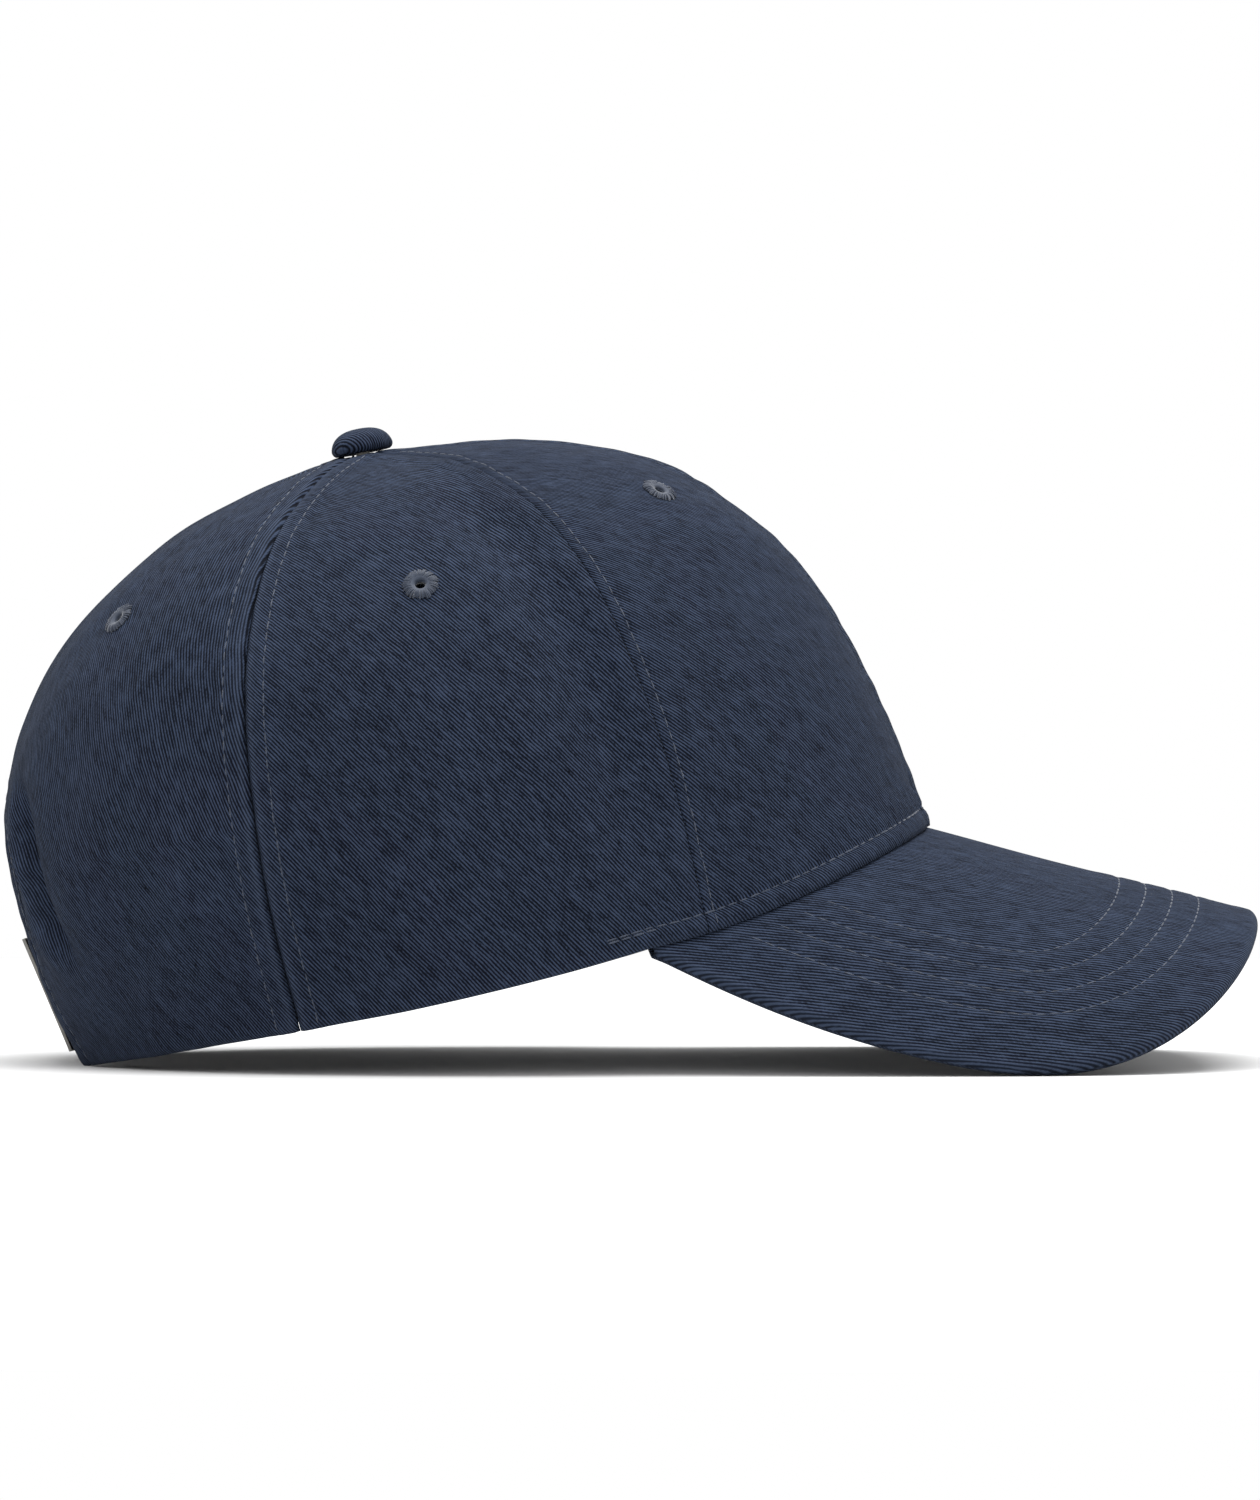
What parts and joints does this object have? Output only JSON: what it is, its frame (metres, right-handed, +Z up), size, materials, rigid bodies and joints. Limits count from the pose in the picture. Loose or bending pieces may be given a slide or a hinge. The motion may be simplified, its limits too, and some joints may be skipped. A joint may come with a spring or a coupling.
{
  "type": "baseball cap",
  "caption": "Low-profile cotton twill baseball cap with a curved stitched brim, covered button, rear opening and adjustable cloth strap with a metal clasp.",
  "frame": {"origin": "middle of the bounding box in plan, at the level the cap rests on: the two low sides of the brim and the rear hem", "axes": "+Z up, +X forwards over the brim, +Y to the wearer's left"},
  "size_m": [0.2774, 0.1598, 0.1408],
  "materials": {
    "crown_twill": "washed navy cotton twill, matt",
    "front_lining_buckram": "stiff open-weave cloth, matt",
    "seam_tape_cotton": "plain-weave cotton tape, matt",
    "eyelet_thread": "satin-stitched thread",
    "sweatband_twill": "cotton twill, matt",
    "padding_foam": "soft non-woven padding, matt",
    "label_satin": "white satin, blank",
    "facing_cotton": "cotton facing, matt",
    "button_twill": "cotton twill stretched over a shell, matt",
    "button_steel": "plain steel",
    "brim_top_twill": "washed navy cotton twill, matt",
    "brim_under_twill": "navy cotton twill, matt",
    "brim_board_plastic": "flexible plastic board, hidden",
    "strap_twill": "folded cotton twill strap, matt",
    "clasp_steel": "nickel-plated sheet steel, satin"
  },
  "bodies": {
    "cap": {"front_panel_left": "crown_twill", "front_panel_right": "crown_twill", "side_panel_left": "crown_twill", "side_panel_right": "crown_twill", "rear_panel_left": "crown_twill", "rear_panel_right": "crown_twill", "front_lining_left": "front_lining_buckram", "front_lining_right": "front_lining_buckram", "seam_tape_front": "seam_tape_cotton", "seam_tape_back": "seam_tape_cotton", "seam_tape_front_left": "seam_tape_cotton", "seam_tape_front_right": "seam_tape_cotton", "seam_tape_rear_left": "seam_tape_cotton", "seam_tape_rear_right": "seam_tape_cotton", "eyelet_front_left": "eyelet_thread", "eyelet_front_right": "eyelet_thread", "eyelet_side_left": "eyelet_thread", "eyelet_side_right": "eyelet_thread", "eyelet_rear_left": "eyelet_thread", "eyelet_rear_right": "eyelet_thread", "sweatband": "sweatband_twill", "sweatband_padding": "padding_foam", "care_label": "label_satin", "arch_facing": "facing_cotton", "button_cover": "button_twill", "button_shell": "button_steel", "button_post": "button_steel", "button_washer": "button_steel", "brim_top_cover": "brim_top_twill", "brim_under_cover": "brim_under_twill", "brim_board": "brim_board_plastic", "clasp_frame": "clasp_steel", "clasp_pin": "clasp_steel", "clasp_loop": "strap_twill"},
    "strap": {"strap": "strap_twill"},
    "lever": {"clasp_lever": "clasp_steel"}
  },
  "joints": [
    {"name": "strap_adjust", "type": "hinge", "parent": "cap", "child": "strap", "pos_m": [-0.06241, 0, 0.0108], "axis": [0.1875, 0, -0.9823], "range_deg": [-12, 12]},
    {"name": "clasp_lever_pivot", "type": "hinge", "parent": "cap", "child": "lever", "pos_m": [-0.12725, 0.01651, 0.01491], "axis": [0.3932, -0.0562, -0.9177], "range_deg": [0, 120]}
  ]
}
